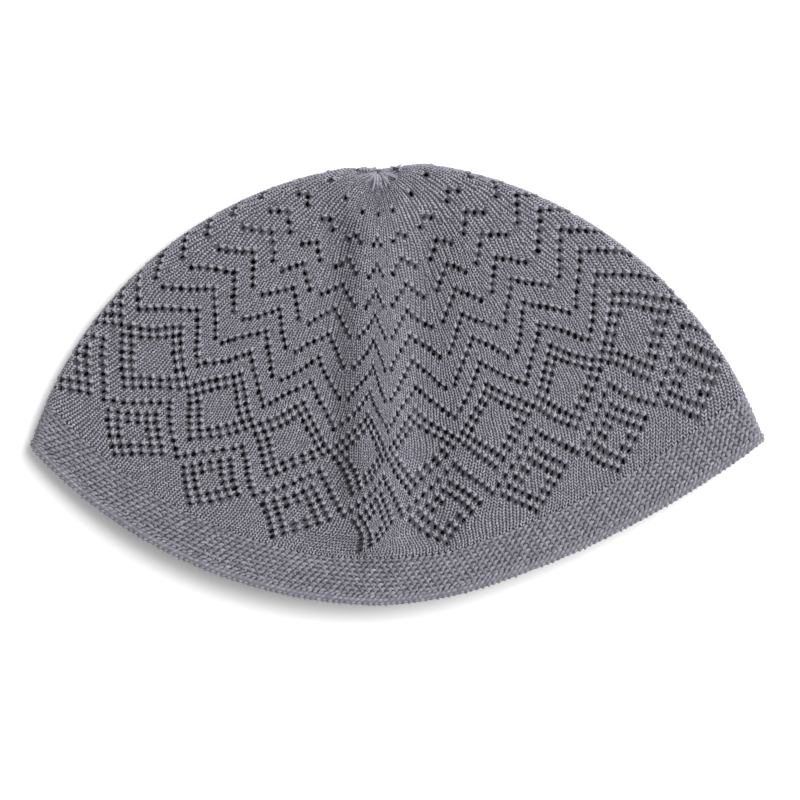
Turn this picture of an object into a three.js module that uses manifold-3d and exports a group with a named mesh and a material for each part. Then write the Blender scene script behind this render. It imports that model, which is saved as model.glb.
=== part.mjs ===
// A knitted lace kufi lying on its back, as it is laid out when it isn't worn. Millimetres.
// +X runs from folded corner to folded corner, +Y to the gathered top, +Z up from the surface below.
// The origin is the middle of the base of the cap's box.
import * as THREE from "three";
import { mergeVertices } from "three/addons/utils/BufferGeometryUtils.js";
import Module from "manifold-3d";

// Driving sizes
const capWidth = 240; // from one folded corner of the rim to the other
const capHeight = 144; // from the lowest point of the rim to the top of the crown
const crownWall = 1.6; // lace knit
const bandWall = 2.2; // textured knit of the band
const edgeWall = 2.8; // rolled cast-off edge at its thickest
const bandWidth = 12.1; // band between the crown and the edge
const edgeWidth = 2.6; // rolled edge, measured down from the band
const seamGap = 0.3; // clear space between two pieces
const foldRadius = 3.6; // bend of the knit round the flattened outline
const puffHeight = 8.5; // rise of the front layer above two flat layers
const ridgeHeight = 7.5; // standing fold above the front layer
const ridgeWidth = 16; // standing fold across its foot
const gatherDepth = 0.9; // grooves between the pleats round the gathered top
const gatherReach = 11; // how far the pleats run from the gathered top
const edgeBulge = 0.5; // how far the rolled edge stands proud of the band
const eyeletWidth = 2; // lace hole
const eyeletRow = 1.84; // from one row of lace holes to the next
const laceStart = 0.7; // from the top of the band to where the rows of lace holes are counted from

// Counts
const sectorCount = 17; // repeats of the lace round the head
const pleatCount = 8; // pleats across each layer at the gathered top
const frontCells = 34; // facets across the front layer between its bends
const backCells = 16; // facets across the back layer between its bends
const crownCells = 16; // facets down the crown below its top bend
const bendCells = 3; // facets in each quarter turn of a bend
const eyeletSides = 5;
const edgeCells = 4; // facets down the rolled edge
const halvings = 24; // steps in the search for a place beside a fold

// How closely the facets crowd: towards the middle of the front, and towards the top of the crown.
const middleCrowding = 1.5;
const topCrowding = 1.15;
const topBendShare = 0.7; // most of a short course's half that its bends may take

const slopeStep = 0.004; // share of a layer over which the knit's slope is taken
const cutterReach = 2.6; // length of a lace hole's cutter, in walls
const edgeThinShare = 0.6; // wall of the rolled edge at its two sides, as a share of its thickest

// Corners of the flattened outline, x as a share of capWidth and y of capHeight.
const corners = {
  gather: { x: -0.027, y: 0.482 },
  leftHump: { x: -0.071, y: 0.49 },
  rightHump: { x: 0.038, y: 0.5 },
  leftCorner: { x: -0.5, y: -0.142 },
  rightCorner: { x: 0.5, y: -0.128 },
  rimLow: { x: -0.024, y: -0.5 },
  rimTurn: { x: 0.099, y: -0.469 },
};

// Arcs of the outline. A bulge lies to the right of the way from corner to corner, as a share of capWidth.
const leftFoldArcs = [
  { from: "gather", to: "leftHump", bulge: 0.001 },
  { from: "leftHump", to: "leftCorner", bulge: 0.0816 },
];
const rightFoldArcs = [
  { from: "gather", to: "rightHump", bulge: -0.002 },
  { from: "rightHump", to: "rightCorner", bulge: -0.0838 },
];
const leftRimArcs = [{ from: "leftCorner", to: "rimLow", bulge: 0.0544 }];
const rightRimArcs = [
  { from: "rimLow", to: "rimTurn", bulge: 0.0035 },
  { from: "rimTurn", to: "rightCorner", bulge: 0.0197 },
];

// Folds of the front layer, beside the crest of the standing fold. Offset and the two half widths are shares
// of ridgeWidth, rise is a share of ridgeHeight, start and end are shares of the way down to the rim.
const folds = [
  { name: "ridge", offset: 0, rise: 1, left: 0.42, right: 0.64, start: 0.04, end: 0.93 },
  { name: "left valley", offset: -0.95, rise: -0.36, left: 0.34, right: 0.3, start: 0.08, end: 0.82 },
  { name: "right valley", offset: 1.2, rise: -0.4, left: 0.5, right: 0.7, start: 0.14, end: 0.93 },
  { name: "lower valley", offset: -1.6, rise: -0.26, left: 0.6, right: 0.45, start: 0.64, end: 0.93 },
  { name: "top crease", offset: -0.9, rise: 0.22, left: 0.5, right: 0.4, start: 0.02, end: 0.2 },
];
const foldFadeShare = 0.1; // share of the way over which a fold comes and goes
const crestShares = { top: 0.01, rim: 0.055 }; // crest of the standing fold, as a share of the half layer

// Puff of the front layer: full from this share of the way down, and lower again at the rim.
const puffFullShare = 0.45;
const puffRimShare = 0.72;

// Lace holes cut through the crown: rows above the band, and shares of a sector from its middle.
const eyeletChart = [
  { name: "small diamond foot", row: 1, aside: 0.5 },
  { name: "small diamond head", row: 11, aside: 0.5 },
  { name: "large diamond foot", row: 11, aside: 0 },
  { name: "large diamond head", row: 25, aside: 0 },
  { name: "first chevron", row: 29, aside: 0 },
  { name: "third chevron", row: 38, aside: 0 },
  { name: "fifth chevron", row: 47, aside: 0 },
];

// How the lace lies on the flattened cap, in shares of the half layer and of the way down.
const laceShares = {
  firstMiddle: -0.807, // middle of the first sector, on the line where it is measured
  measuredDown: 0.67, // that line
  leanBelow: 0.46, // turn of the knit for each whole way down, below that line
  leanAbove: 0.147, // the same above it, at the middle of a layer
  leanAcross: 0.078, // how much more the right side turns above it
  drift: 0.021, // how far the front's middle lies to the right
  foldTake: 0.05, // knit taken up by the standing fold
  foldTakeWidth: 0.12,
  foldTakeReach: 0.3,
  courseBow: 0.023, // how far the rows of the lace sink towards the folds
};

const wasm = await Module();
wasm.setup();

const cornerPoint = (name) =>
  new THREE.Vector2(corners[name].x * capWidth, corners[name].y * capHeight);

const smooth = (low, high, value) => THREE.MathUtils.smoothstep(value, low, high);

// Arc from one corner to another, with its length and a function that gives the point at a share of it.
function outlineArc({ from, to, bulge }) {
  const start = cornerPoint(from);
  const end = cornerPoint(to);
  const along = end.clone().sub(start);
  const chord = along.length();
  along.normalize();
  const outward = new THREE.Vector2(along.y, -along.x);
  const rise = bulge * capWidth;
  const halfTurn = 2 * Math.atan((2 * rise) / chord);
  const radius = chord / 2 / Math.sin(halfTurn);
  const middle = start.clone().add(end).multiplyScalar(0.5);
  const pointAt = (share) => {
    const turn = halfTurn * (2 * share - 1);
    return middle
      .clone()
      .addScaledVector(along, radius * Math.sin(turn))
      .addScaledVector(outward, radius * Math.cos(turn) - radius + rise);
  };
  return { length: 2 * radius * halfTurn, pointAt };
}

// Chain of arcs as one path, measured by length.
function outlinePath(rows) {
  const arcs = rows.map(outlineArc);
  const total = arcs.reduce((sum, arc) => sum + arc.length, 0);
  return (share) => {
    let rest = THREE.MathUtils.clamp(share, 0, 1) * total;
    let last = 0;
    while (last < arcs.length - 1 && rest > arcs[last].length) {
      rest -= arcs[last].length;
      last += 1;
    }
    return arcs[last].pointAt(rest / arcs[last].length);
  };
}

const leftFold = outlinePath(leftFoldArcs);
const rightFold = outlinePath(rightFoldArcs);
const leftRim = outlinePath(leftRimArcs);
const rightRim = outlinePath(rightRimArcs);
const gather = cornerPoint("gather");
const rimLow = cornerPoint("rimLow");
const spineLength = gather.distanceTo(rimLow);

const foldSamples = 160;
const foldLine = Array.from({ length: 2 * foldSamples + 1 }, (_, i) =>
  i < foldSamples ? leftFold(1 - i / foldSamples) : rightFold(i / foldSamples - 1),
);

// Distance from a point of the plan to the folded outline, along straight pieces of it.
function depthOf(point) {
  let nearest = Infinity;
  for (let i = 1; i < foldLine.length; i++) {
    const start = foldLine[i - 1];
    const piece = foldLine[i].clone().sub(start);
    const share = point.clone().sub(start).dot(piece) / piece.lengthSq();
    const foot = start.clone().addScaledVector(piece, THREE.MathUtils.clamp(share, 0, 1));
    nearest = Math.min(nearest, foot.distanceTo(point));
  }
  return nearest;
}

// Point of the plan: across runs from -1 at the left fold to 1 at the right one, down from 0 at the gather to 1
// at the rim. A course bows through both folds and the spine, and takes the rim's own arcs towards the rim.
function planPoint(across, down) {
  const bow = (left, middle, right) =>
    new THREE.Vector2()
      .addScaledVector(left, (across * across - across) / 2)
      .addScaledVector(middle, 1 - across * across)
      .addScaledVector(right, (across * across + across) / 2);
  const spine = gather.clone().lerp(rimLow, down);
  const rim = across < 0 ? leftRim(1 + across) : rightRim(across);
  const rimBow = bow(leftRim(0), rimLow, rightRim(1));
  return bow(leftFold(down), spine, rightFold(down)).addScaledVector(rim.sub(rimBow), down * down);
}

// Height of the folds above the puffed front layer.
function foldHeight(across, down) {
  const crest = THREE.MathUtils.lerp(crestShares.top, crestShares.rim, down * down);
  const halfLayer = leftFold(down).distanceTo(rightFold(down)) / 2;
  const aside = (across - crest) * halfLayer;
  return folds.reduce((height, fold) => {
    const from = aside - fold.offset * ridgeWidth;
    const reach = (from < 0 ? fold.left : fold.right) * ridgeWidth;
    const comes = smooth(fold.start, fold.start + foldFadeShare, down);
    const fade = comes * (1 - smooth(fold.end - foldFadeShare, fold.end, down));
    return height + fold.rise * ridgeHeight * fade * Math.exp(-((from / reach) ** 2));
  }, 0);
}

// Outer surface of the front or back layer.
function layerPoint(across, down, isFront) {
  const plan = planPoint(across, down);
  const inBend = 1 - Math.min(depthOf(plan) / foldRadius, 1);
  const bend = foldRadius * Math.sqrt(1 - inBend * inBend);
  if (!isFront) return new THREE.Vector3(plan.x, plan.y, foldRadius - bend);
  const rise = smooth(0, puffFullShare, down) * THREE.MathUtils.lerp(1, puffRimShare, down * down);
  const puff = puffHeight * (1 - across * across) * rise;
  return new THREE.Vector3(plan.x, plan.y, foldRadius + bend + puff + foldHeight(across, down) * (1 - inBend));
}

// Place across a course where the layer lies a given depth inside the fold, on the side of the given sign.
function acrossAtDepth(depth, down, side) {
  let inner = 0;
  let outer = 1;
  for (let i = 0; i < halvings; i++) {
    const middle = (inner + outer) / 2;
    if (depthOf(planPoint(side * middle, down)) > depth) inner = middle;
    else outer = middle;
  }
  return side * outer;
}

// Places of the facets across a layer, from left to right: close together in the bends and near the middle.
function acrossPlaces(down, cells, crowding) {
  const bendDepth = Math.min(foldRadius, topBendShare * depthOf(planPoint(0, down)));
  const side = (sign) =>
    Array.from({ length: bendCells }, (_, i) => {
      const turn = (((i + 1) / bendCells) * Math.PI) / 2;
      return acrossAtDepth(bendDepth * (1 - Math.cos(turn)), down, sign);
    });
  const left = side(-1);
  const right = side(1);
  const [leftEnd, rightEnd] = [left.pop(), right.pop()];
  const inside = Array.from({ length: cells + 1 }, (_, i) => {
    const share = (2 * i) / cells - 1;
    return Math.abs(share) ** crowding * (share < 0 ? leftEnd : rightEnd);
  });
  return [...left, ...inside, ...right.reverse()];
}

// One closed course: the left fold, the front layer, the right fold and the back layer.
function coursePoints(down) {
  const front = acrossPlaces(down, frontCells, middleCrowding).map((across) => ({ across, isFront: true }));
  const back = acrossPlaces(down, backCells, 1).map((across) => ({ across, isFront: false }));
  const loop = [{ across: -1, isFront: true }, ...front, { across: 1, isFront: true }, ...back.reverse()];
  return loop.map(({ across, isFront }) => ({ across, down, point: layerPoint(across, down, isFront) }));
}

// Faces of a stack of closed courses with the same number of points each, facing away from the cap's inside.
function courseFaces(courseCount, size, first) {
  const faces = [];
  for (let row = 0; row + 1 < courseCount; row++)
    for (let i = 0; i < size; i++) {
      const a = first + row * size + i;
      const b = first + row * size + ((i + 1) % size);
      faces.push([a, a + size, b], [b, a + size, b + size]);
    }
  return faces;
}

// Closed knitted wall over courses, from the gather or from an open upper end, down to an open lower end.
// wallAt gives, for each course, how far the wall stands outwards and how far it reaches inwards.
function knitWall(downs, wallAt, hasGather) {
  const courses = downs.map(coursePoints);
  const size = courses[0].length;
  const knots = courses.flat();
  if (hasGather) knots.push({ across: 0, down: 0, point: new THREE.Vector3(gather.x, gather.y, foldRadius) });
  const faces = courseFaces(courses.length, size, 0);
  const pole = courses.length * size;
  if (hasGather) for (let i = 0; i < size; i++) faces.push([pole, i, (i + 1) % size]);
  const skin = new THREE.BufferGeometry()
    .setFromPoints(knots.map((knot) => knot.point))
    .setIndex(faces.flat());
  skin.computeVertexNormals();
  const normals = knots.map((_, i) => new THREE.Vector3().fromBufferAttribute(skin.attributes.normal, i));
  const outer = knots.map(({ across, down, point }, i) => {
    const lift = wallAt(down).outward * Math.max(normals[i].z, 0) + pleatLift(across, down);
    return point.clone().addScaledVector(normals[i], lift);
  });
  const inner = knots.map(({ across, down, point }, i) =>
    point.clone().addScaledVector(normals[i], pleatLift(across, down) - wallAt(down).inward),
  );
  const count = knots.length;
  const inside = faces.map(([a, b, c]) => [count + a, count + c, count + b]);
  const lastCourse = (courses.length - 1) * size;
  const rims = [];
  for (let i = 0; i < size; i++) {
    const j = (i + 1) % size;
    rims.push([lastCourse + i, count + lastCourse + i, count + lastCourse + j]);
    rims.push([lastCourse + i, count + lastCourse + j, lastCourse + j]);
    if (!hasGather) rims.push([i, j, count + j], [i, count + j, count + i]);
  }
  return new THREE.BufferGeometry()
    .setFromPoints([...outer, ...inner])
    .setIndex([...faces, ...inside, ...rims].flat());
}

// Grooves between the pleats that fan out from the gathered top and fade into the lace.
function pleatLift(across, down) {
  const reach = gatherReach / spineLength;
  const fade = smooth(0, reach / 4, down) * (1 - smooth(reach / 3, reach, down));
  return (gatherDepth * fade * (Math.cos(pleatCount * Math.PI * across) - 1)) / 2;
}

// Solid of a closed mesh, and back.
function toSolid(geometry) {
  geometry.deleteAttribute("normal");
  geometry.deleteAttribute("uv");
  const merged = mergeVertices(geometry, 1e-4);
  const vertProperties = merged.attributes.position.array;
  const triVerts = new Uint32Array(merged.index.array);
  return new wasm.Manifold(new wasm.Mesh({ numProp: 3, vertProperties, triVerts }));
}

function toGeometry(solid) {
  const mesh = solid.getMesh();
  return new THREE.BufferGeometry()
    .setAttribute("position", new THREE.BufferAttribute(mesh.vertProperties, 3))
    .setIndex(new THREE.BufferAttribute(mesh.triVerts, 1));
}

// Shares of the way down at which the pieces meet.
const edgeTop = 1 - edgeWidth / spineLength;
const bandFoot = edgeTop - seamGap / spineLength;
const bandTop = bandFoot - bandWidth / spineLength;
const crownFoot = bandTop - seamGap / spineLength;

// Courses of the crown: close together over its top bend, then wider.
function crownCourses() {
  const bend = Array.from({ length: bendCells }, (_, i) => {
    const turn = (((i + 1) / bendCells) * Math.PI) / 2;
    return (foldRadius * (1 - Math.cos(turn))) / spineLength;
  });
  const start = bend.at(-1);
  const rest = Array.from({ length: crownCells }, (_, i) =>
    THREE.MathUtils.lerp(start, crownFoot, ((i + 1) / crownCells) ** topCrowding),
  );
  return [...bend, ...rest];
}

// Place round the head, 0 to 4 from the left fold over the front and back again, as a place across a layer.
function roundToLayer(round) {
  const turned = THREE.MathUtils.euclideanModulo(round, 4);
  return turned < 2 ? { across: turned - 1, isFront: true } : { across: 3 - turned, isFront: false };
}

// Place on a layer of a wale that is measured at the given place round the head, on a given course.
function walePlace(measured, course) {
  const lace = laceShares;
  const up = lace.measuredDown - course;
  const side = Math.sin((Math.PI / 2) * roundToLayer(measured).across);
  const lean = up < 0 ? lace.leanBelow : lace.leanAbove + lace.leanAcross * side;
  const { across, isFront } = roundToLayer(measured + lean * up);
  const down = course + lace.courseBow * across * across * (1 - course);
  if (!isFront) return { across, down, isFront };
  const aside = across - crestShares.top + lace.drift;
  const take = Math.tanh(aside / lace.foldTakeWidth) * Math.exp(-((aside / lace.foldTakeReach) ** 2));
  return { across: across + lace.drift * (1 - across * across) - lace.foldTake * take, down, isFront };
}

// Prism that cuts one lace hole through the crown's wall, square to the knit.
function eyeletTool(measured, course) {
  const { across, down, isFront } = walePlace(measured, course);
  const step = slopeStep;
  const point = layerPoint(across, down, isFront);
  const aside = layerPoint(across + step, down, isFront).sub(layerPoint(across - step, down, isFront));
  const below = layerPoint(across, down + step, isFront).sub(layerPoint(across, down - step, isFront));
  const normal = aside.cross(below).normalize();
  if (normal.z < 0 === isFront) normal.negate();
  const length = cutterReach * crownWall;
  const tool = new THREE.CylinderGeometry(eyeletWidth / 2, eyeletWidth / 2, length, eyeletSides);
  const turn = new THREE.Quaternion().setFromUnitVectors(new THREE.Vector3(0, 1, 0), normal);
  const middle = point.addScaledVector(normal, -crownWall / 2);
  return toSolid(tool.applyQuaternion(turn).translate(...middle.toArray()));
}

function crownGeometry() {
  const plain = toSolid(knitWall(crownCourses(), () => ({ outward: 0, inward: crownWall }), true));
  const sectorWidth = 4 / sectorCount;
  const tools = [];
  for (let sector = 0; sector < sectorCount; sector++)
    for (const { row, aside } of eyeletChart) {
      const measured = 1 + laceShares.firstMiddle + (sector + aside) * sectorWidth;
      tools.push(eyeletTool(measured, bandTop - (laceStart + row * eyeletRow) / spineLength));
    }
  return toGeometry(plain.subtract(wasm.Manifold.union(tools)));
}

function bandGeometry() {
  const downs = [0, 1 / 2, 1].map((share) => THREE.MathUtils.lerp(bandTop, bandFoot, share));
  return knitWall(downs, () => ({ outward: 0, inward: bandWall }), false);
}

// The rolled edge is full in its middle and rounds off to both sides.
function edgeGeometry() {
  const shares = Array.from({ length: edgeCells + 1 }, (_, i) => i / edgeCells);
  const downs = shares.map((share) => THREE.MathUtils.lerp(edgeTop, 1, share));
  const wallAt = (down) => {
    const share = (down - edgeTop) / (1 - edgeTop);
    const round = Math.sqrt(Math.max(1 - (2 * share - 1) ** 2, 0));
    return { outward: edgeBulge * round, inward: edgeWall * (edgeThinShare + (1 - edgeThinShare) * round) };
  };
  return knitWall(downs, wallAt, false);
}

const laceYarn = new THREE.MeshStandardMaterial({ color: 0x85848d, roughness: 0.9, metalness: 0 });
const bandYarn = new THREE.MeshStandardMaterial({ color: 0x8c8b94, roughness: 0.9, metalness: 0 });
const edgeYarn = new THREE.MeshStandardMaterial({ color: 0x92919a, roughness: 0.88, metalness: 0 });

const pieces = [
  { name: "crown", geometry: crownGeometry(), material: laceYarn },
  { name: "band", geometry: bandGeometry(), material: bandYarn },
  { name: "rim_edge", geometry: edgeGeometry(), material: edgeYarn },
];

const group = new THREE.Group();
for (const { name, geometry, material } of pieces) {
  const mesh = new THREE.Mesh(geometry, material);
  mesh.name = name;
  group.add(mesh);
}

export default group;
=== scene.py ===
import math
import bpy
import numpy as np
from mathutils.kdtree import KDTree
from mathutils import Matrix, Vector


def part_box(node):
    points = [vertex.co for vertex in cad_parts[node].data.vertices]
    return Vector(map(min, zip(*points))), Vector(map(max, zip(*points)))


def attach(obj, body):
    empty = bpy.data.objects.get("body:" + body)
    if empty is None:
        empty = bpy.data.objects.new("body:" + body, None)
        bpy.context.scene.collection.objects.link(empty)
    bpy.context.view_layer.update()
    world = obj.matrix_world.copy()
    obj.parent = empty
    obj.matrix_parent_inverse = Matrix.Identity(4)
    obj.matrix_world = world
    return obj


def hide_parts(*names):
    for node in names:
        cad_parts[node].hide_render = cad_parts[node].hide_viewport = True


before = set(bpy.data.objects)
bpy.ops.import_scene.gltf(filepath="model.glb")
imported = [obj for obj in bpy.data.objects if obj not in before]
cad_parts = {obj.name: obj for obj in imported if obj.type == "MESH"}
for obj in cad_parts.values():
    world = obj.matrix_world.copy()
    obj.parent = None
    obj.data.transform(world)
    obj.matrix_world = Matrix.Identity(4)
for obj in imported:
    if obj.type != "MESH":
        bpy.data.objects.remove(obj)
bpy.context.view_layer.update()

# The flattened cap: +X across the folds, +Y up to the gathered top, +Z up off the table, all in metres.
edgeLow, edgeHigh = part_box("rim_edge")
capForm = {
    "width": edgeHigh.x - edgeLow.x,
    "height": -2 * edgeLow.y,  # the rim's lowest point lies half the height below the middle
    "bandWidth": 0.0121,
    "edgeWidth": 0.0026,
    "seamGap": 0.0003,
    "foldRadius": 0.0036,  # bend of the knit round the flattened outline
    "puffHeight": 0.0085,
    "puffFullShare": 0.45,
    "puffRimShare": 0.72,
    "ridgeHeight": 0.0075,
    "ridgeWidth": 0.016,
    "gatherDepth": 0.0009,
    "gatherReach": 0.011,
    "pleatCount": 8,
}

# Corners of the outline, as shares of the width and of the height.
corners = {
    "gather": (-0.027, 0.482),
    "leftHump": (-0.071, 0.49),
    "rightHump": (0.038, 0.5),
    "leftCorner": (-0.5, -0.142),
    "rightCorner": (0.5, -0.128),
    "rimLow": (-0.024, -0.5),
    "rimTurn": (0.099, -0.469),
}

# Arcs between them: from, to, and the bulge to the right of the way, as a share of the width.
leftFoldRows = [("gather", "leftHump", 0.001), ("leftHump", "leftCorner", 0.0816)]
rightFoldRows = [("gather", "rightHump", -0.002), ("rightHump", "rightCorner", -0.0838)]
leftRimRows = [("leftCorner", "rimLow", 0.0544)]
rightRimRows = [("rimLow", "rimTurn", 0.0035), ("rimTurn", "rightCorner", 0.0197)]

# Folds beside the crest: offset, rise, half widths to the left and right, and where they start and end.
folds = [
    {"offset": 0.0, "rise": 0.78, "left": 0.5, "right": 0.6, "start": 0.04, "end": 0.93},
    {"offset": -0.74, "rise": -0.38, "left": 0.42, "right": 0.3, "start": 0.08, "end": 0.82},
    {"offset": 1.03, "rise": -0.75, "left": 0.45, "right": 0.66, "start": 0.14, "end": 0.93},
    {"offset": -1.4, "rise": -0.32, "left": 0.6, "right": 0.45, "start": 0.64, "end": 0.93},
    {"offset": -0.9, "rise": 0.22, "left": 0.5, "right": 0.4, "start": 0.02, "end": 0.2},
]
foldFadeShare = 0.1
crestTop, crestRim = -0.045, 0.01  # place of the crest across the front, at the top and at the rim


def cornerPoint(name):
    x, y = corners[name]
    return np.array([x * capForm["width"], y * capForm["height"]])


def smooth(low, high, value):
    share = np.clip((value - low) / (high - low), 0, 1)
    return share * share * (3 - 2 * share)


def outlineArc(start, end, bulge):
    start, end = cornerPoint(start), cornerPoint(end)
    chord = np.hypot(*(end - start))
    along = (end - start) / chord
    outward = np.array([along[1], -along[0]])
    rise = bulge * capForm["width"]
    halfTurn = 2 * math.atan(2 * rise / chord)
    radius = chord / 2 / math.sin(halfTurn)
    centre = (start + end) / 2 + outward * (rise - radius)
    return {"along": along, "outward": outward, "centre": centre, "radius": radius, "halfTurn": halfTurn}


def arcPoint(arc, turn):
    way = np.sin(turn)[:, None] * arc["along"] + np.cos(turn)[:, None] * arc["outward"]
    return arc["centre"] + arc["radius"] * way


def pathPoint(arcs, share):  # point at a share of the length of a chain of arcs
    lengths = [2 * arc["radius"] * arc["halfTurn"] for arc in arcs]
    way = np.clip(share, 0, 1) * sum(lengths)
    points = np.zeros((len(way), 2))
    start = 0.0
    for arc, length in zip(arcs, lengths):
        here = way >= start
        part = np.minimum((way[here] - start) / length, 1)
        points[here] = arcPoint(arc, arc["halfTurn"] * (2 * part - 1))
        start += length
    return points


leftFold, rightFold, leftRim, rightRim = [
    [outlineArc(*row) for row in rows] for rows in (leftFoldRows, rightFoldRows, leftRimRows, rightRimRows)
]
gather, rimLow = cornerPoint("gather"), cornerPoint("rimLow")
spineLength = np.hypot(*(rimLow - gather))


def foldDepth(plan):  # distance in plan to the folded outline
    depth = np.full(len(plan), np.inf)
    for arc in leftFold + rightFold:
        away = (plan - arc["centre"]) / arc["radius"]
        limit = abs(arc["halfTurn"])
        turn = np.clip(np.arctan2(away @ arc["along"], away @ arc["outward"]), -limit, limit)
        depth = np.minimum(depth, np.hypot(*(plan - arcPoint(arc, turn)).T))
    return depth


def bow(left, middle, right, across):
    a = across[:, None]
    return left * (a * a - a) / 2 + middle * (1 - a * a) + right * (a * a + a) / 2


def planPoint(across, down):
    spine = gather + (rimLow - gather) * down[:, None]
    onRim = np.where((across < 0)[:, None], pathPoint(leftRim, 1 + across), pathPoint(rightRim, across))
    rimBow = bow(cornerPoint("leftCorner"), rimLow, cornerPoint("rightCorner"), across)
    courses = bow(pathPoint(leftFold, down), spine, pathPoint(rightFold, down), across)
    return courses + (onRim - rimBow) * (down * down)[:, None]


def halfLayer(down):
    return np.hypot(*(pathPoint(leftFold, down) - pathPoint(rightFold, down)).T) / 2


def foldHeight(across, down):
    crest = crestTop + (crestRim - crestTop) * down * down
    aside = (across - crest) * halfLayer(down)
    height = np.zeros(len(across))
    for fold in folds:
        offside = aside - fold["offset"] * capForm["ridgeWidth"]
        reach = np.where(offside < 0, fold["left"], fold["right"]) * capForm["ridgeWidth"]
        comes = smooth(fold["start"], fold["start"] + foldFadeShare, down)
        goes = 1 - smooth(fold["end"] - foldFadeShare, fold["end"], down)
        height += fold["rise"] * comes * goes * np.exp(-((offside / reach) ** 2))
    return height * capForm["ridgeHeight"]


def layerPoint(across, down, isFront):  # outer surface of the front or back layer
    plan = planPoint(across, down)
    radius = capForm["foldRadius"]
    inBend = 1 - np.minimum(foldDepth(plan) / radius, 1)
    bend = radius * np.sqrt(1 - inBend * inBend)
    rise = smooth(0, capForm["puffFullShare"], down) * (1 + (capForm["puffRimShare"] - 1) * down * down)
    puff = capForm["puffHeight"] * (1 - across * across) * rise
    front = radius + bend + puff + foldHeight(across, down) * (1 - inBend)
    return np.column_stack([plan, np.where(isFront, front, radius - bend)])


# How the lace lies on the flattened cap. A place round the head runs from 0 to 4, over the front first.
laceLay = {
    "sectors": 17,
    "walesPerSector": 14,
    "walesAtTop": 3.5,
    "decreaseStart": 0.53,  # above this share of the way down the sectors grow narrower
    "decreaseEnd": 0.125,
    "courseHeight": 0.00092,
    "laceStart": 0.0007,  # from the band's top to the first course
    "firstMiddle": -0.807,
    "measuredDown": 0.67,
    "leanBelow": 0.46,
    "leanAbove": 0.147,
    "leanAcross": 0.078,
    "drift": 0.021,
    "foldTake": 0.05,  # the knit is drawn in towards the crest by this much
    "foldTakeAside": 0.011,
    "foldTakeWidth": 0.12,
    "foldTakeReach": 0.3,
    "courseBow": 0.023,
    "bendShare": 0.014,  # the knit is stretched over this width beside each fold, to get round the bend
    "uneven": 0.0032,  # how far the wales and courses wander, in shares of the round and of the way down
    "topSpread": 0.4,  # near the top the wales beside the folds lie closer together than the plan gives
    "topSpreadEnd": 0.4,
}

edgeTop = 1 - capForm["edgeWidth"] / spineLength
bandFoot = edgeTop - capForm["seamGap"] / spineLength
bandTop = bandFoot - capForm["bandWidth"] / spineLength
crownFoot = bandTop - capForm["seamGap"] / spineLength
coursePitch = laceLay["courseHeight"] / spineLength
sectorWidth = 4 / laceLay["sectors"]


def toLayer(place):
    turned = np.mod(place, 4)
    return np.where(turned < 2, turned - 1, 3 - turned), turned < 2


def walePlace(measured, course):  # a wale that is measured where the lace was charted, on a course
    uneven = laceLay["uneven"]
    wander = np.sin(math.pi * (7 * measured + 9.3 * course)) + np.sin(math.pi * (4.5 * measured - 17 * course) + 1)
    sway = np.sin(math.pi * (5 * measured + 6 * course) + 2) + np.sin(math.pi * (11.5 * measured - 4 * course))
    measured, course = measured + uneven * wander, course + 0.4 * uneven * sway * (1 - course)
    up = laceLay["measuredDown"] - course
    side = np.sin(math.pi / 2 * toLayer(measured)[0])
    lean = np.where(up < 0, laceLay["leanBelow"], laceLay["leanAbove"] + laceLay["leanAcross"] * side)
    across, isFront = toLayer(measured + lean * up)
    down = course + laceLay["courseBow"] * across * across * (1 - course) * smooth(0, 0.15, course)
    aside = across + laceLay["foldTakeAside"]
    take = np.tanh(aside / laceLay["foldTakeWidth"]) * np.exp(-((aside / laceLay["foldTakeReach"]) ** 2))
    take = take * (1 - smooth(crownFoot - 0.06, crownFoot, course))  # the band isn't drawn in at the crest
    pulled = across + laceLay["drift"] * (1 - across * across) - laceLay["foldTake"] * take
    across = np.where(isFront, pulled, across)
    spread = laceLay["topSpread"] * (1 - smooth(0.05, laceLay["topSpreadEnd"], course))
    across = across * (1 + spread * (1 - np.abs(across)))
    return np.clip(roundTheBend(across, down), -1, 1), np.clip(down, 0.0005, 1), isFront


def roundTheBend(across, down):  # wales beside a fold are spread evenly over the bend's real length
    half = np.maximum(halfLayer(np.clip(down, 0, 1)), 0.001)
    radius = capForm["foldRadius"]
    spare = radius * (math.pi / 2 - 1)
    zone = np.minimum(laceLay["bendShare"], 0.6 * half)
    inward = (1 - np.abs(across)) * half
    way = inward * (zone + spare) / zone
    depth = np.where(way < radius * math.pi / 2, radius * (1 - np.cos(way / radius)), way - spare)
    fits = (inward < zone) & (half > 2 * radius)
    return np.where(fits, np.sign(across) * (1 - depth / half), across)


def pleatLift(across, down):  # grooves between the pleats that fan out from the gathered top
    reach = capForm["gatherReach"] / spineLength
    fade = smooth(0, reach / 4, down) * (1 - smooth(reach / 3, reach, down))
    return capForm["gatherDepth"] * fade * (np.cos(capForm["pleatCount"] * math.pi * across) - 1) / 2


def knitPoint(measured, course):
    return layerPoint(*walePlace(measured, course))


def unit(vectors):
    return vectors / np.maximum(np.linalg.norm(vectors, axis=1), 1e-12)[:, None]


def knitFrame(measured, course):  # point, the two ways along the knit (for one round, one way down), and outward
    step = 0.002
    point = knitPoint(measured, course)
    along = (knitPoint(measured + step, course) - knitPoint(measured - step, course)) / (2 * step)
    down = (knitPoint(measured, course + step) - knitPoint(measured, course - step)) / (2 * step)
    outward = unit(np.cross(down, along))
    across, way, isFront = walePlace(measured, course)
    away = np.column_stack([0.5 * unit(point[:, :2]), np.where(isFront, 1.0, -1.0)])
    outward = outward * np.where((outward * away).sum(1) < 0, -1.0, 1.0)[:, None]  # the humps beside the top fold over
    return point + outward * pleatLift(across, way)[:, None], along, down, outward


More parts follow.
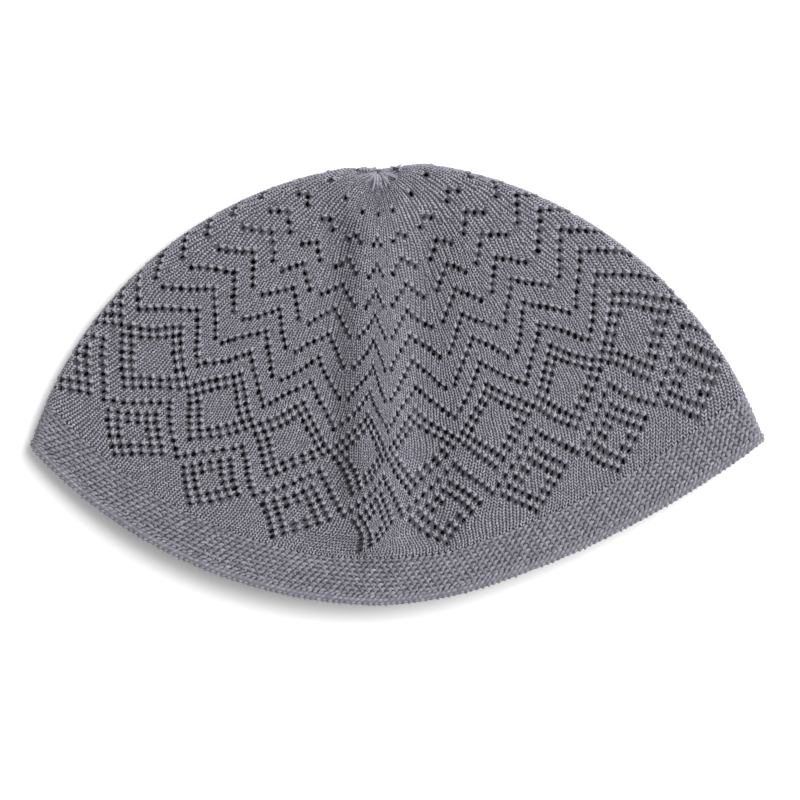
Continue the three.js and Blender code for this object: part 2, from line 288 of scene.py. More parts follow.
# One helper for the nodes of every tree.
def addNode(tree, kind, inputs=None, **settings):
    node = tree.nodes.new(kind)
    for name, value in settings.items():
        setattr(node, name, value)
    for socket, value in (inputs or {}).items():
        if isinstance(value, bpy.types.NodeSocket):
            tree.links.new(value, node.inputs[socket])
        else:
            node.inputs[socket].default_value = value
    return node


def linearColour(hexValue):  # sRGB hex to linear
    parts = [int(hexValue[i:i + 2], 16) / 255 for i in (1, 3, 5)]
    return tuple(c / 12.92 if c <= 0.04045 else ((c + 0.055) / 1.055) ** 2.4 for c in parts) + (1.0,)


# Combed cotton knitting yarn, two plied and soft twisted: matt, faintly hairy, and flecked light and dark.
def cottonYarn(name, yarn):
    material = bpy.data.materials.new(name)
    material.use_nodes = True
    tree = material.node_tree
    tree.nodes.clear()
    place = addNode(tree, "ShaderNodeTexCoord").outputs["Object"]
    flecks = addNode(tree, "ShaderNodeTexNoise",
                     {"Vector": place, "Scale": 1 / yarn["fleckSize"], "Detail": 3.0, "Roughness": 0.6})
    hairs = addNode(tree, "ShaderNodeTexNoise",
                    {"Vector": place, "Scale": 1 / yarn["hairSize"], "Detail": 2.0, "Roughness": 0.7})
    shades = addNode(tree, "ShaderNodeValToRGB", {"Fac": flecks.outputs["Fac"]})
    shades.color_ramp.elements[0].position = 0.3
    shades.color_ramp.elements[0].color = linearColour(yarn["dark"])
    shades.color_ramp.elements[1].position = 0.7
    shades.color_ramp.elements[1].color = linearColour(yarn["light"])
    tone = addNode(tree, "ShaderNodeAttribute", attribute_name="tone")  # lighter and darker stitches
    toned = addNode(tree, "ShaderNodeVectorMath", {0: shades.outputs["Color"], "Scale": tone.outputs["Fac"]},
                    operation="SCALE")
    bump = addNode(tree, "ShaderNodeBump",
                   {"Height": hairs.outputs["Fac"], "Strength": yarn["bump"], "Distance": yarn["hairSize"] / 2})
    shader = addNode(tree, "ShaderNodeBsdfPrincipled", {
        "Base Color": toned.outputs["Vector"], "Roughness": yarn["roughness"], "IOR": 1.47,
        "Specular IOR Level": 0.25, "Sheen Weight": yarn["sheen"], "Sheen Roughness": 0.5,
        "Normal": bump.outputs["Normal"],
    })
    addNode(tree, "ShaderNodeOutputMaterial", {"Surface": shader.outputs["BSDF"]})
    return material


laceYarn = cottonYarn("combed_cotton_lace_yarn", {
    "dark": "#757480", "light": "#9d9ca5",
    "fleckSize": 0.0011,  # a fleck runs over about one stitch
    "hairSize": 0.00022,  # single fibres are ten times finer, so they are drawn as coarse as they show
    "roughness": 0.88, "sheen": 0.12, "bump": 0.5,
})
groundYarnPaintedShade = cottonYarn("combed_cotton_knit_ground_painted_shade", {
    "dark": "#39383d", "light": "#525158",  # painted shade: the same yarn as the stitches, coloured dark for the shade it lies in behind them
    "fleckSize": 0.0009, "hairSize": 0.0003, "roughness": 0.92, "sheen": 0.0, "bump": 0.8,
})
# Partly painted shade: the same yarn as the lace, coloured darker overall to stand in for the shade in the band's
# slits.
bandYarnPartlyPaintedShade = cottonYarn("combed_cotton_band_yarn_partly_painted_shade", {
    "dark": "#68676f", "light": "#8d8b95",
    "fleckSize": 0.0014, "hairSize": 0.00025, "roughness": 0.88, "sheen": 0.12, "bump": 0.5,
})
edgeYarn = cottonYarn("combed_cotton_cast_off_yarn", {
    "dark": "#6b6a73", "light": "#908f98",
    "fleckSize": 0.0016, "hairSize": 0.00025, "roughness": 0.86, "sheen": 0.14, "bump": 0.5,
})
rollYarnPaintedShade = cottonYarn("combed_cotton_cast_off_ground_painted_shade", {
    "dark": "#5c5b63", "light": "#76757d",  # seen between the stitches of the edge: painted shade, coloured darker for the shade it lies in there
    "fleckSize": 0.0012, "hairSize": 0.00025, "roughness": 0.9, "sheen": 0.0, "bump": 0.6,
})
print("materials made")


def newMesh(name, points, faces):
    mesh = bpy.data.meshes.new(name)
    mesh.from_pydata(np.asarray(points).tolist(), [], faces)
    mesh.update()
    piece = bpy.data.objects.new(name, mesh)
    bpy.context.scene.collection.objects.link(piece)
    return piece


def bakePiece(piece):  # turns the evaluated piece into a plain mesh and takes its modifiers off
    graph = bpy.context.evaluated_depsgraph_get()
    baked = bpy.data.meshes.new_from_object(piece.evaluated_get(graph))
    spent = piece.data
    piece.modifiers.clear()
    piece.data = baked
    bpy.data.meshes.remove(spent)
    baked.name = piece.name
    for extra in ("along", "outward", "stretch"):
        if extra in baked.attributes:
            baked.attributes.remove(baked.attributes[extra])
    return piece


def addAttribute(mesh, name, kind, values):
    attribute = mesh.attributes.new(name, kind, "POINT")
    field = "vector" if kind == "FLOAT_VECTOR" else "value"
    attribute.data.foreach_set(field, np.asarray(values, np.float32).ravel())


def triangleCount(mesh):
    return sum(len(face.vertices) - 2 for face in mesh.polygons)


def pressFlat(mesh):  # no yarn reaches below the table: what would is squeezed into the last bit above it
    heights = np.zeros(3 * len(mesh.vertices), np.float32)
    mesh.vertices.foreach_get("co", heights)
    soft = 0.0003
    z = heights[2::3]
    heights[2::3] = np.where(z < soft, soft * np.exp(np.minimum(z - soft, 0) / soft), z)
    mesh.vertices.foreach_set("co", heights)
    mesh.update()


def dressPiece(piece, node, material=None):
    pressFlat(piece.data)
    if material:
        piece.data.materials.clear()
        piece.data.materials.append(material)
    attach(piece, "root")
    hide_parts(node)
    low = min(corner[2] for corner in piece.bound_box)
    print(piece.name, triangleCount(piece.data), "triangles, lowest at", round(low * 1000, 2), "mm")


# Tree that lays a short length of yarn at each point: a long bead that arches off the knit and bends in it.
def yarnLengthTree():
    tree = bpy.data.node_groups.new("yarnLengths", "GeometryNodeTree")
    tree.interface.new_socket("Geometry", in_out="INPUT", socket_type="NodeSocketGeometry")
    for label, kind in (
        ("Length", "Float"), ("Width", "Float"), ("Depth", "Float"), ("Arch", "Float"), ("Bend", "Float"),
        ("Sides", "Int"), ("Rings", "Int"), ("Yarn", "Material"),
    ):
        tree.interface.new_socket(label, in_out="INPUT", socket_type="NodeSocket" + kind)
    tree.interface.new_socket("Geometry", in_out="OUTPUT", socket_type="NodeSocketGeometry")
    given = addNode(tree, "NodeGroupInput").outputs
    bead = addNode(tree, "GeometryNodeMeshUVSphere",
                   {"Segments": given["Sides"], "Rings": given["Rings"], "Radius": 0.5})
    place = addNode(tree, "GeometryNodeInputPosition").outputs["Position"]
    size = addNode(tree, "ShaderNodeCombineXYZ",
                   {"X": given["Width"], "Y": given["Depth"], "Z": given["Length"]})
    sized = addNode(tree, "ShaderNodeVectorMath", {0: place, 1: size.outputs["Vector"]}, operation="MULTIPLY")
    height = addNode(tree, "ShaderNodeSeparateXYZ", {"Vector": place}).outputs["Z"]
    square = addNode(tree, "ShaderNodeMath", {0: height, 1: height}, operation="MULTIPLY")
    bow = addNode(tree, "ShaderNodeCombineXYZ", {"X": given["Bend"], "Y": given["Arch"]})
    bowed = addNode(tree, "ShaderNodeVectorMath", {0: bow.outputs["Vector"], "Scale": square.outputs["Value"]},
                    operation="SCALE")
    quarter = addNode(tree, "ShaderNodeVectorMath", {0: bowed.outputs["Vector"], "Scale": -4.0}, operation="SCALE")
    laid = addNode(tree, "ShaderNodeVectorMath", {0: sized.outputs["Vector"], 1: quarter.outputs["Vector"]},
                   operation="ADD")
    shaped = addNode(tree, "GeometryNodeSetPosition",
                     {"Geometry": bead.outputs["Mesh"], "Position": laid.outputs["Vector"]})
    along, outward, stretch = [
        addNode(tree, "GeometryNodeInputNamedAttribute", {"Name": name}, data_type="FLOAT_VECTOR").outputs[0]
        for name in ("along", "outward", "stretch")
    ]
    turn = addNode(tree, "FunctionNodeAxesToRotation", {"Primary Axis": along, "Secondary Axis": outward},
                   primary_axis="Z", secondary_axis="Y")
    copies = addNode(tree, "GeometryNodeInstanceOnPoints", {
        "Points": given["Geometry"], "Instance": shaped.outputs["Geometry"],
        "Rotation": turn.outputs["Rotation"], "Scale": stretch,
    })
    real = addNode(tree, "GeometryNodeRealizeInstances", {"Geometry": copies.outputs["Instances"]})
    soft = addNode(tree, "GeometryNodeSetShadeSmooth", {"Geometry": real.outputs["Geometry"], "Shade Smooth": True})
    finished = addNode(tree, "GeometryNodeSetMaterial",
                       {"Geometry": soft.outputs["Geometry"], "Material": given["Yarn"]})
    addNode(tree, "NodeGroupOutput", {"Geometry": finished.outputs["Geometry"]})
    return tree


yarnLengths = yarnLengthTree()


def layYarn(name, points, along, outward, stretch, tone, sizes, yarn):
    piece = newMesh(name, points, [])
    addAttribute(piece.data, "along", "FLOAT_VECTOR", along)
    addAttribute(piece.data, "outward", "FLOAT_VECTOR", outward)
    addAttribute(piece.data, "stretch", "FLOAT_VECTOR", stretch)
    addAttribute(piece.data, "tone", "FLOAT", tone)
    modifier = piece.modifiers.new("yarn", "NODES")
    modifier.node_group = yarnLengths
    values = dict(sizes, Yarn=yarn)
    for item in yarnLengths.interface.items_tree:
        if item.in_out == "INPUT" and item.name in values:
            modifier[item.identifier] = values[item.name]
    return bakePiece(piece)


# The lace, charted: eyelets of one sector as (course, wale from the sector's middle).
laceChart = {
    "smallDiamonds": [(2, 6), (6, 4)],  # lowest course and eyelets a side, round the middle between two sectors
    "zigzagPeak": 28,
    "largeDiamonds": [(22, 8), (26, 6)],  # the same, round the sector's middle
    "chevronTip": 58,
    "chevronStep": 9,
    "chevrons": 8,
}


def chevron(tip, middle, arm):
    return [(tip - 2 * k, middle + side * k) for k in range(arm) for side in (-1, 1)]


def diamond(foot, middle, side):
    head = foot + 4 * (side - 1)
    upper = chevron(head, middle, side)
    return upper + [(foot + head - course, wale) for course, wale in upper]


def sectorEyelets():
    between = laceLay["walesPerSector"] // 2
    found = chevron(laceChart["zigzagPeak"], between, between + 1)
    for foot, side in laceChart["smallDiamonds"]:
        found += diamond(foot, between, side)
    for foot, side in laceChart["largeDiamonds"]:
        found += diamond(foot, 0, side)
    for i in range(laceChart["chevrons"]):
        found += chevron(laceChart["chevronTip"] + i * laceChart["chevronStep"], 0, laceChart["chevrons"] - i)
    return set(found)


def downOfCourse(course):
    return bandTop - laceLay["laceStart"] / spineLength - course * coursePitch


def walesAt(down):  # wales in one sector, a real number that shrinks towards the top
    full, least = laceLay["walesPerSector"], laceLay["walesAtTop"]
    share = (down - laceLay["decreaseEnd"]) / (laceLay["decreaseStart"] - laceLay["decreaseEnd"])
    return least + (full - least) * float(np.clip(share, 0, 1))


def measuredPlace(sector, wale, down):
    return 1 + laceLay["firstMiddle"] + (sector + wale / walesAt(down)) * sectorWidth


def allEyelets():
    full, count = laceLay["walesPerSector"], laceLay["sectors"]
    found = set()
    for sector in range(count):
        for course, wale in sectorEyelets():
            if wale > full // 2:  # a half that reaches into the next sector
                found.add((course, (sector + 1) % count, wale - full))
            elif wale == -(full // 2):
                found.add((course, (sector - 1) % count, full // 2))
            else:
                found.add((course, sector, wale))
    return found


eyelets = allEyelets()
topCourse = int((downOfCourse(0) - 0.012) / coursePitch)
print(len(eyelets), "eyelets in", topCourse, "courses")

# Ground of the crown: the yarn behind the stitches, one sheet with a real hole at each eyelet.
groundSheet = {
    "inset": 0.00062,  # below the tops of the stitches
    "thickness": 0.0007,
    "eyeletWidth": 0.0012,
    "eyeletHeight": 0.00145,
    "eyeletSpread": 0.26,  # how much the holes differ in size
    "eyeletShift": 0.00016,
    "seed": 19,
}


def crownGround():
    count, full = laceLay["sectors"], laceLay["walesPerSector"]
    lines = [wale + 0.5 for wale in range(-full // 2, full // 2)]
    places, knots, faces = [], {}, []

    def knot(row, sector, line):  # number of the knot on a course line, beside a wale; clamped to its sector
        down = crownFoot if row < 0 else downOfCourse(row)
        half = walesAt(down) / 2
        if abs(line) >= half - 1e-6:
            sector, line = (sector + (line > 0)) % count, -half
            key = (row, sector, "edge")
        else:
            key = (row, sector, line)
        if key not in knots:
            knots[key] = len(places)
            places.append((measuredPlace(sector, line, down), down))
        return knots[key]

    holes = {(course, sector, wale) for course, sector, wale in eyelets}
    openCells = {(course + step, sector, wale) for course, sector, wale in holes for step in (-1, 0)}
    for row in range(-1, topCourse):
        for sector in range(count):
            for i, line in enumerate(lines):
                wale = i - full // 2 + 1
                right = (sector, line + 1) if wale <= full // 2 - 1 else ((sector + 1) % count, lines[0])
                if (row, sector, wale) in openCells:
                    continue
                ring = [knot(row, sector, line), knot(row, *right), knot(row + 1, *right),
                        knot(row + 1, sector, line)]
                ring = [k for n, k in enumerate(ring) if k != ring[n - 1]]
                if len(ring) > 2:
                    faces.append(ring)
    rings = []
    for course, sector, wale in sorted(holes):
        left = (sector, wale - 0.5)
        right = (sector, wale + 0.5) if wale < full // 2 else ((sector + 1) % count, lines[0])
        ring = [knot(course - 1, *left), knot(course - 1, *right), knot(course, *right),
                knot(course + 1, *right), knot(course + 1, *left), knot(course, *left)]
        rings.append(ring)
    measured, down = np.array(places).T
    point, along, way, outward = knitFrame(measured, down)
    point = point - outward * groundSheet["inset"]
    pole = np.append(gather, capForm["foldRadius"])
    points = [*point, pole]
    for sector in range(count):
        for line in lines:
            right = (sector, line + 1) if line < full // 2 - 1 else ((sector + 1) % count, lines[0])
            a, b = knot(topCourse, sector, line), knot(topCourse, *right)
            if a != b:
                faces.append([a, b, len(point)])
    random = np.random.default_rng(groundSheet["seed"])
    for ring in rings:  # a six-sided hole inside the two cells
        outer = point[ring]
        wider, higher = np.clip(1 + random.normal(0, groundSheet["eyeletSpread"], 2), 0.4, 1.35)
        aside, below = random.normal(0, groundSheet["eyeletShift"], 2)
        acrossHalf = (outer[2] - outer[5]) / 2
        downHalf = (outer[0] + outer[1] - outer[3] - outer[4]) / 4
        wide = min(wider * groundSheet["eyeletWidth"] / 2, 0.8 * np.linalg.norm(acrossHalf))
        high = min(higher * groundSheet["eyeletHeight"] / 2, 0.9 * np.linalg.norm(downHalf))
        x = acrossHalf / np.linalg.norm(acrossHalf) * wide
        y = downHalf / np.linalg.norm(downHalf) * high
        middle = outer.mean(0) + x / wide * aside + y / high * below
        first = len(points)
        points += [middle - x * 0.62 + y, middle + x * 0.62 + y, middle + x,
                   middle + x * 0.62 - y, middle - x * 0.62 - y, middle - x]
        faces += [[ring[n], ring[(n + 1) % 6], first + (n + 1) % 6, first + n] for n in range(6)]
    return np.array(points), faces


points, faces = crownGround()
ground = newMesh("crown_ground", points, faces)
ground.data.shade_smooth()
wall = ground.modifiers.new("wall", "SOLIDIFY")
wall.thickness = groundSheet["thickness"]
wall.offset = -1
wall.use_even_offset = False
bakePiece(ground)
addAttribute(ground.data, "tone", "FLOAT", np.ones(len(ground.data.vertices)))
# The ground's dark colour is painted shade, for the shade that falls behind the stitches.
dressPiece(ground, "crown", groundYarnPaintedShade)

# Stitches of the crown: two legs each, a V that points at the rim.
laceStitch = {
    "Length": 0.00147, "Width": 0.00067, "Depth": 0.00085, "Arch": 0.00024, "Bend": 0.0,
    "Sides": 4, "Rings": 3,
}
laceKnit = {
    "waleWidth": 0.0019,  # the width that the leg is drawn for
    "reach": 0.36,  # how far across its wale a leg leans, as a share of the wale's width
    "tip": 0.3,  # how far the root of a leg stands out of the knit
    "inset": 0.0004,
    "stopDown": 0.016,  # the strokes of the gathered top begin here
    "toneSpread": 0.13,
    "turnSpread": 7,
    "shiftSpread": 0.00006,
    "holeReach": 0.0017,  # stitches this near to an eyelet are drawn away from it
    "holePush": 0.0003,
    "seed": 7,
}


def walesOfCourse(wales):  # place and width of each wale of a sector; the outer ones fill the narrowing gap
    half = int(math.floor(wales / 2 - 0.25))
    gap = wales - 2 * half
    own = 3 if gap >= 1.5 else 2  # with one more on the line between two sectors
    width = (gap + 1) / own
    places = [(wale, float(wale), 1.0) for wale in range(1 - half, half)]
    outer = half - 0.5 + width / 2
    places += [(half, outer, width), (-half, -outer, width)]
    if own == 3:
        places.append((laceLay["walesPerSector"] // 2, wales / 2, width))
    return places


def crownStitches():
    missing = {(course + step, sector, wale) for course, sector, wale in eyelets for step in (-1, 0)}
    rows = []
    for row in range(-1, topCourse):
        down = downOfCourse(row + 0.5)
        if down < laceKnit["stopDown"]:
            break
        wales = walesAt(down)
        for sector in range(laceLay["sectors"]):
            for wale, place, width in walesOfCourse(wales):
                if (row, sector, wale) not in missing:
                    rows.append((sector, place / wales, width / wales, down, row))
    return np.array(rows, float)


def eyeletMiddles():  # eyelets as (measured, down, wale), in a fixed order
    rows = []
    for course, sector, wale in sorted(eyelets):
        down = downOfCourse(course)
        rows.append((measuredPlace(sector, wale, down), down, wale))
    return np.array(rows, float)


def square(along, up):  # the way across the wale, square to it
    return along - up * (along * up).sum(1)[:, None]


holeMeasured, holeDown, holeWale = eyeletMiddles().T
holeMiddle, holeAlong, holeWay, holeOutward = knitFrame(holeMeasured, holeDown)
holeTree = KDTree(len(holeMiddle))
for i, point in enumerate(holeMiddle):
    holeTree.insert(point, i)
holeTree.balance()
holePushes = np.random.default_rng(laceKnit["seed"]).normal(laceKnit["holePush"], 0.00022, len(holeMiddle))


def awayFromHoles(points):
    moved = points.copy()
    for i, point in enumerate(points):
        hole, index, distance = holeTree.find(point)
        if distance < laceKnit["holeReach"]:
            push = holePushes[index] * (1 - distance / laceKnit["holeReach"])
            moved[i] += (point - np.array(hole)) / max(distance, 1e-6) * push
    return moved


sector, place, share, down, course = crownStitches().T
measured = 1 + laceLay["firstMiddle"] + (sector + place) * sectorWidth
middle, along, way, outward = knitFrame(measured, down)
upUnit = -unit(way)
sideways = square(along, upUnit)
spacing = np.linalg.norm(sideways, axis=1) * sectorWidth * share
height = np.linalg.norm(way, axis=1) * coursePitch
sideUnit = unit(sideways)
placeAcross, placeDown, onFront = walePlace(measured, down)
random = np.random.default_rng(laceKnit["seed"])
legs = []
for side in (-1, 1):
    lean = np.arcsin(np.clip(laceKnit["reach"] * spacing / laceStitch["Length"], 0, 0.7))
    lean += np.radians(random.normal(0, laceKnit["turnSpread"], len(middle)))
    leg = upUnit * np.cos(lean)[:, None] + side * sideUnit * np.sin(lean)[:, None] - laceKnit["tip"] * outward
    shift = spacing / 4 + random.normal(0, laceKnit["shiftSpread"], len(middle))
    centre = middle + side * sideUnit * shift[:, None] - outward * laceKnit["inset"]
    wide = np.clip(spacing / laceKnit["waleWidth"], 0.35, 1.4)
    long = np.clip(height / laceLay["courseHeight"], 0.75, 1.5)
    stretch = np.column_stack([wide, np.clip(wide, 0.6, 1.0), long])
    tone = 1 + random.normal(0, laceKnit["toneSpread"], len(middle))
    legs.append((awayFromHoles(centre), unit(leg), outward, stretch, tone))
centre, leg, normal, stretch, tone = [np.concatenate(part) for part in zip(*legs)]
fine = np.tile(onFront | (np.abs(placeAcross) > 0.93), 2)
order = np.tile(course, 2)


def knitPart(name, chosen, sizes):
    piece = layYarn(name, centre[chosen], leg[chosen], normal[chosen], stretch[chosen], tone[chosen],
                    sizes, laceYarn)
    dressPiece(piece, "crown")


cuts = np.quantile(order[fine], [1 / 3, 2 / 3])
for name, chosen in (
    ("lace_knit_front_lower", fine & (order <= cuts[0])),
    ("lace_knit_front_middle", fine & (order > cuts[0]) & (order <= cuts[1])),
    ("lace_knit_front_upper", fine & (order > cuts[1])),
):
    knitPart(name, chosen, laceStitch)
knitPart("lace_knit_back", ~fine, dict(laceStitch, Rings=2))

# Beside each eyelet two stitches are knitted together: one thick stitch above the hole, leaning along the lace.
doubleStitch = {
    "Length": 0.0019, "Width": 0.00095, "Depth": 0.00115, "Arch": 0.0003, "Bend": 0.0, "Sides": 5, "Rings": 4,
}
doubleKnit = {"above": 1.5, "lean": 34, "turnSpread": 8, "toneSpread": 0.08, "inset": 0.00028, "seed": 23}


def doubleStitches():
    random = np.random.default_rng(doubleKnit["seed"])
    down = holeDown - doubleKnit["above"] * coursePitch
    point, along, way, outward = knitFrame(holeMeasured, down)
    up = -unit(way)
    sideways = square(along, up)
    spacing = np.linalg.norm(sideways, axis=1) * sectorWidth / laceLay["walesPerSector"]
    lean = np.radians(np.sign(holeWale) * doubleKnit["lean"] + random.normal(0, doubleKnit["turnSpread"], len(down)))
    lie = up * np.cos(lean)[:, None] - unit(sideways) * np.sin(lean)[:, None]
    stretch = np.clip(np.column_stack([spacing / 0.0018, np.ones(len(down)), np.ones(len(down))]), 0.6, 1.2)
    tone = 1 + random.normal(0, doubleKnit["toneSpread"], len(down))
    piece = layYarn("lace_double_stitches", point - outward * doubleKnit["inset"], lie, outward, stretch, tone,
                    doubleStitch, laceYarn)
    dressPiece(piece, "crown")


doubleStitches()

# Strokes of the gathered top: the last stitches, drawn long where the thread pulls them together.
gatherStrokes = {
    "Length": 0.0052, "Width": 0.00075, "Depth": 0.0009, "Arch": 0.0003, "Bend": 0.00025,
    "Sides": 6, "Rings": 6,
}
gatherFan = {"strokes": 46, "spread": 0.9, "nearest": 0.01, "farthest": 0.034, "inset": 0.0002,
             "turnSpread": 8, "seed": 11}


drawnThread = {"loops": 24, "reach": 0.0056, "aside": 0.0002, "above": 0.0001, "climb": 0.0007, "depth": 0.0016, "turnSpread": 16}


def gatheredTop():
    random = np.random.default_rng(gatherFan["seed"])
    count = gatherFan["strokes"]
    place = (2 * (np.arange(count) + random.uniform(0.2, 0.8, count)) / count - 1) * gatherFan["spread"]
    measured = np.concatenate([1 + place, 3 + place])  # over the front, then over the back
    count = len(measured)
    down = random.uniform(gatherFan["nearest"], gatherFan["farthest"], count)
    point, along, way, outward = knitFrame(measured, down)
    turn = np.radians(random.normal(0, gatherFan["turnSpread"], count))[:, None]
    radial = unit(way)
    lie = radial * np.cos(turn) + np.cross(outward, radial) * np.sin(turn)
    reach = np.clip(down / 0.022, 0.55, 1.1)
    scale = np.column_stack([random.uniform(0.8, 1.25, count), np.ones(count), reach])
    tone = random.uniform(0.78, 1.12, count)
    piece = layYarn("top_gathers", point - outward * gatherFan["inset"], lie, outward, scale, tone,
                    gatherStrokes, laceYarn)
    dressPiece(piece, "crown")
    count = drawnThread["loops"]  # loops of the thread that draws the top together, along the fold
    place = np.linspace(-1, 1, count)
    point = np.column_stack([
        gather[0] + drawnThread["aside"] + place * drawnThread["reach"],
        gather[1] + drawnThread["above"] + drawnThread["climb"] * np.abs(place) + random.normal(0, 0.00008, count),
        capForm["foldRadius"] + random.uniform(-1, 1, count) * drawnThread["depth"],
    ])
    turn = np.radians(random.normal(0, drawnThread["turnSpread"], count))
    lie = np.column_stack([np.cos(turn), np.sin(turn), random.normal(0, 0.3, count)])
    outward = np.tile([0.0, 0.55, 0.83], (count, 1))
    scale = np.column_stack([random.uniform(0.85, 1.2, count), np.ones(count), random.uniform(0.5, 0.75, count)])
    piece = layYarn("top_thread", point, unit(lie), outward, scale, random.uniform(0.8, 1.05, count),
                    gatherStrokes, laceYarn)
    dressPiece(piece, "crown")


gatheredTop()


# A closed ring of knit over a stretch of the way down, from a profile of (share of the stretch, height).
def knitRing(name, top, foot, profile, stations):
    measured = 4 * np.arange(stations) / stations
    rows = []
    for share, height, lift in profile:
        point, along, way, outward = knitFrame(measured, np.full(stations, top + (foot - top) * share))
        rows.append(point + outward * height + outward * lift * np.maximum(outward[:, 2:], 0))
    points = np.concatenate(rows)
    faces = []
    for r in range(len(profile)):
        nextRow = (r + 1) % len(profile)
        for i in range(stations):
            j = (i + 1) % stations
            faces.append([r * stations + i, nextRow * stations + i, nextRow * stations + j, r * stations + j])
    ring = newMesh(name, points, faces)
    ring.data.shade_smooth()
    addAttribute(ring.data, "tone", "FLOAT", np.ones(len(points)))
    return ring


bandGround = {"inset": 0.0009, "wall": 0.0012, "stations": 480, "courses": 6}
steps = [i / bandGround["courses"] for i in range(bandGround["courses"] + 1)]
bandProfile = [(s, -bandGround["inset"], 0) for s in steps]
bandProfile += [(s, -bandGround["inset"] - bandGround["wall"], 0) for s in reversed(steps)]
# The band's ground is coloured with the same painted shade, for the shade in its slits.
dressPiece(knitRing("band_ground", crownFoot, edgeTop, bandProfile, bandGround["stations"]),
           "band", groundYarnPaintedShade)

# Bumps of the band: rows of short slanted arches, each row set further along than the one above it, and
# between two rows the leg that joins them. A slit stays open beside each leg, dark from real shade and from the
# painted shade of the ground under it.
bandBump = {
    "Length": 0.0028, "Width": 0.0012, "Depth": 0.0016, "Arch": 0.0005, "Bend": 0.0004,
    "Sides": 6, "Rings": 5,
}
bandLeg = {
    "Length": 0.0015, "Width": 0.0011, "Depth": 0.00125, "Arch": 0.0002, "Bend": 0.0, "Sides": 5, "Rings": 4,
}
bandKnit = {
    "rows": 8, "bumps": 238, "drift": 0.36, "slant": 22, "turnSpread": 8, "toneSpread": 0.09, "inset": 0.00075,
    "legPlace": -0.22, "legSlant": 80, "legInset": 0.00085, "seed": 5,
}


def evenPlaces(down, shares):  # places spaced evenly along one course, from shares of its length past the middle
    start = 1 + laceLay["leanBelow"] * (down - laceLay["measuredDown"])
    measured = np.linspace(start, start + 4, 1201)
    point = knitPoint(measured, np.full(len(measured), down))
    length = np.append(0, np.cumsum(np.linalg.norm(np.diff(point, axis=0), axis=1)))
    return np.interp(np.mod(shares, 1) * length[-1], length, measured), length[-1]


def rowFrame(down, shares):
    measured, length = evenPlaces(down, shares)
    point, along, way, outward = knitFrame(measured, np.full(len(shares), down))
    sideways = unit(along)
    return point, sideways, np.cross(outward, sideways), outward, length


def bandYarns(name, sizes, rows, shift, slantDegrees, inset, seed):
    random = np.random.default_rng(seed)
    count = bandKnit["bumps"]
    parts = []
    for row in rows:
        down = bandTop + (bandFoot - bandTop) * (row + 0.5) / bandKnit["rows"]
        shares = (np.arange(count) + shift + bandKnit["drift"] * row) / count
        point, sideways, up, outward, length = rowFrame(down, shares)
        slant = np.radians(slantDegrees + random.normal(0, bandKnit["turnSpread"], count))[:, None]
        lie = sideways * np.cos(slant) + up * np.sin(slant)
        stretch = np.tile([1, 1, length / count / 0.0021], (count, 1)) * random.uniform(0.92, 1.08, (count, 3))
        tone = 1 + random.normal(0, bandKnit["toneSpread"], count)
        parts.append((point + sideways * random.normal(0, 0.00008, (count, 1)) - outward * inset,
                      lie, outward, stretch, tone))
    point, lie, outward, stretch, tone = [np.concatenate(part) for part in zip(*parts)]
    piece = layYarn(name, point, lie, outward, stretch, tone, sizes, bandYarnPartlyPaintedShade)
    dressPiece(piece, "band")


bandRows = np.arange(bandKnit["rows"])
bandYarns("band_bumps", bandBump, bandRows, 0.0, bandKnit["slant"], bandKnit["inset"], bandKnit["seed"])
bandYarns("band_legs", bandLeg, bandRows[:-1] + 0.5, bandKnit["legPlace"], bandKnit["legSlant"],
          bandKnit["legInset"], bandKnit["seed"] + 1)

# Rolled edge: a soft roll with slanted chain stitches on it.
edgeRoll = {"sides": 12, "stations": 480, "bulge": 0.0001, "wall": 0.0024}


def edgeProfile():
    rows = []
    for i in range(edgeRoll["sides"]):
        turn = 2 * math.pi * i / edgeRoll["sides"]
        height = edgeRoll["wall"] * (math.sin(turn) - 1) / 2
        rows.append(((1 - math.cos(turn)) / 2, height, edgeRoll["bulge"] * max(math.sin(turn), 0)))
    return rows


# The roll's darker colour is painted shade between the edge stitches.
dressPiece(knitRing("edge_roll", edgeTop, 1, edgeProfile(), edgeRoll["stations"]),
           "rim_edge", rollYarnPaintedShade)

edgeStitch = {
    "Length": 0.0023, "Width": 0.00105, "Depth": 0.0011, "Arch": 0.0004, "Bend": 0.0002, "Sides": 6, "Rings": 4,
}
edgeChain = {
    "stitches": 290, "rows": [(-0.04, -0.0004), (0.38, 0.0), (0.78, -0.00015)],  # share of the edge, and lift
    "slant": 30, "turnSpread": 9, "inset": 0.0002, "toneSpread": 0.08, "seed": 3,
}


def edgeStitches():
    random = np.random.default_rng(edgeChain["seed"])
    count = edgeChain["stitches"]
    parts = []
    for n, (share, lift) in enumerate(edgeChain["rows"]):
        shares = (np.arange(count) + 0.4 * n) / count
        point, sideways, up, outward, length = rowFrame(edgeTop + (1 - edgeTop) * share, shares)
        slant = np.radians(edgeChain["slant"] + random.normal(0, edgeChain["turnSpread"], count))[:, None]
        lie = sideways * np.cos(slant) + up * np.sin(slant)
        raised = edgeRoll["bulge"] * np.maximum(outward[:, 2:], 0) - edgeChain["inset"] + lift
        stretch = np.tile([1, 1, length / count / 0.0017], (count, 1)) * random.uniform(0.9, 1.1, (count, 3))
        tone = 1 + random.normal(0, edgeChain["toneSpread"], count)
        parts.append((point + outward * raised, lie, outward, stretch, tone))
    point, lie, outward, stretch, tone = [np.concatenate(part) for part in zip(*parts)]
    piece = layYarn("edge_stitches", point, lie, outward, stretch, tone, edgeStitch, edgeYarn)
    dressPiece(piece, "rim_edge")


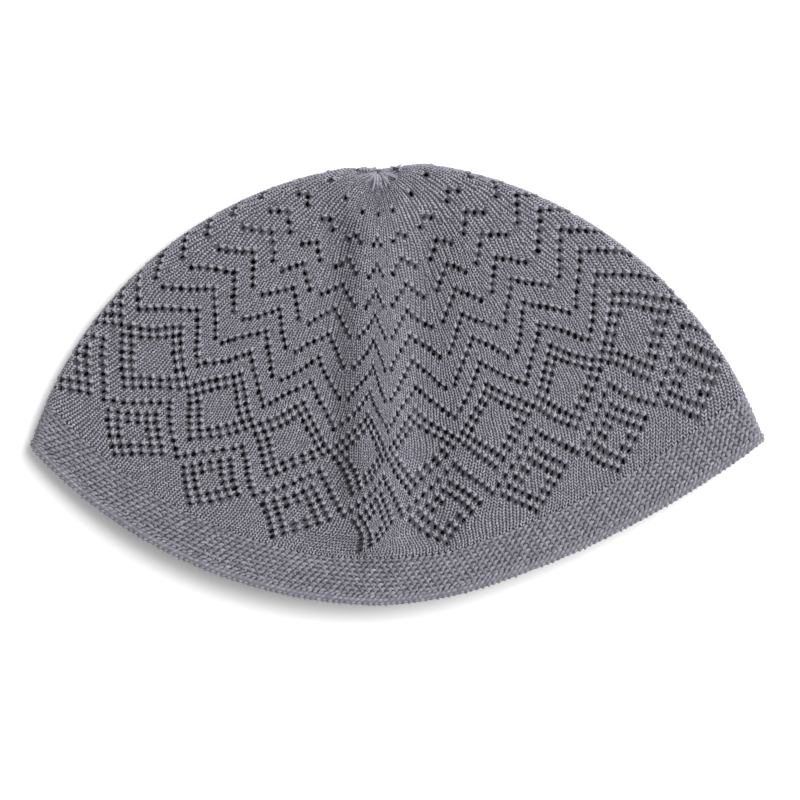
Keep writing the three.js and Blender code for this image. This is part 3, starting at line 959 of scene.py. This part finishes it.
edgeStitches()
print("knit made")

# Studio: a pale floor, a soft sky and one large lamp to the right, towards the cap's top.
studio = {"floorSize": 6.0, "floorColour": "#fbfbfb", "skyStrength": 0.58, "lampStrength": 70.0, "lampSize": 1.8,
          "lampPlace": (1.15, 0.7, 1.75)}


def buildStudio():
    half = studio["floorSize"] / 2
    low = -0.0002  # just under the cap
    floor = newMesh("floor", [(-half, -half, low), (half, -half, low), (half, half, low), (-half, half, low)],
                    [[0, 1, 2, 3]])
    paper = bpy.data.materials.new("matt_white_paper")
    paper.use_nodes = True
    shader = paper.node_tree.nodes["Principled BSDF"]
    shader.inputs["Base Color"].default_value = linearColour(studio["floorColour"])
    shader.inputs["Roughness"].default_value = 0.95
    floor.data.materials.append(paper)
    sky = bpy.data.worlds.new("studio_sky")
    sky.use_nodes = True
    sky.node_tree.nodes["Background"].inputs["Color"].default_value = linearColour("#ffffff")
    sky.node_tree.nodes["Background"].inputs["Strength"].default_value = studio["skyStrength"]
    bpy.context.scene.world = sky
    lampData = bpy.data.lights.new("softbox", "AREA")
    lampData.size = studio["lampSize"]
    lampData.energy = studio["lampStrength"]
    lamp = bpy.data.objects.new("softbox", lampData)
    lamp.location = studio["lampPlace"]
    lamp.rotation_mode = "QUATERNION"
    lamp.rotation_quaternion = (-lamp.location).to_track_quat("-Z", "Y")
    bpy.context.scene.collection.objects.link(lamp)


buildStudio()

# Camera: straight above the cap, far away, as in the photograph.
photoView = {"distance": 1.5, "width": 0.2612, "aimX": 0.00082, "aimY": -0.00539, "sensor": 36.0}


def placeCamera():
    lens = bpy.data.cameras.new("camera")
    lens.sensor_width = photoView["sensor"]
    lens.lens = photoView["sensor"] * photoView["distance"] / photoView["width"]
    camera = bpy.data.objects.new("camera", lens)
    camera.location = (photoView["aimX"], photoView["aimY"], photoView["distance"] + capForm["foldRadius"])
    bpy.context.scene.collection.objects.link(camera)
    bpy.context.scene.camera = camera


placeCamera()
bpy.context.scene.view_settings.view_transform = "Standard"
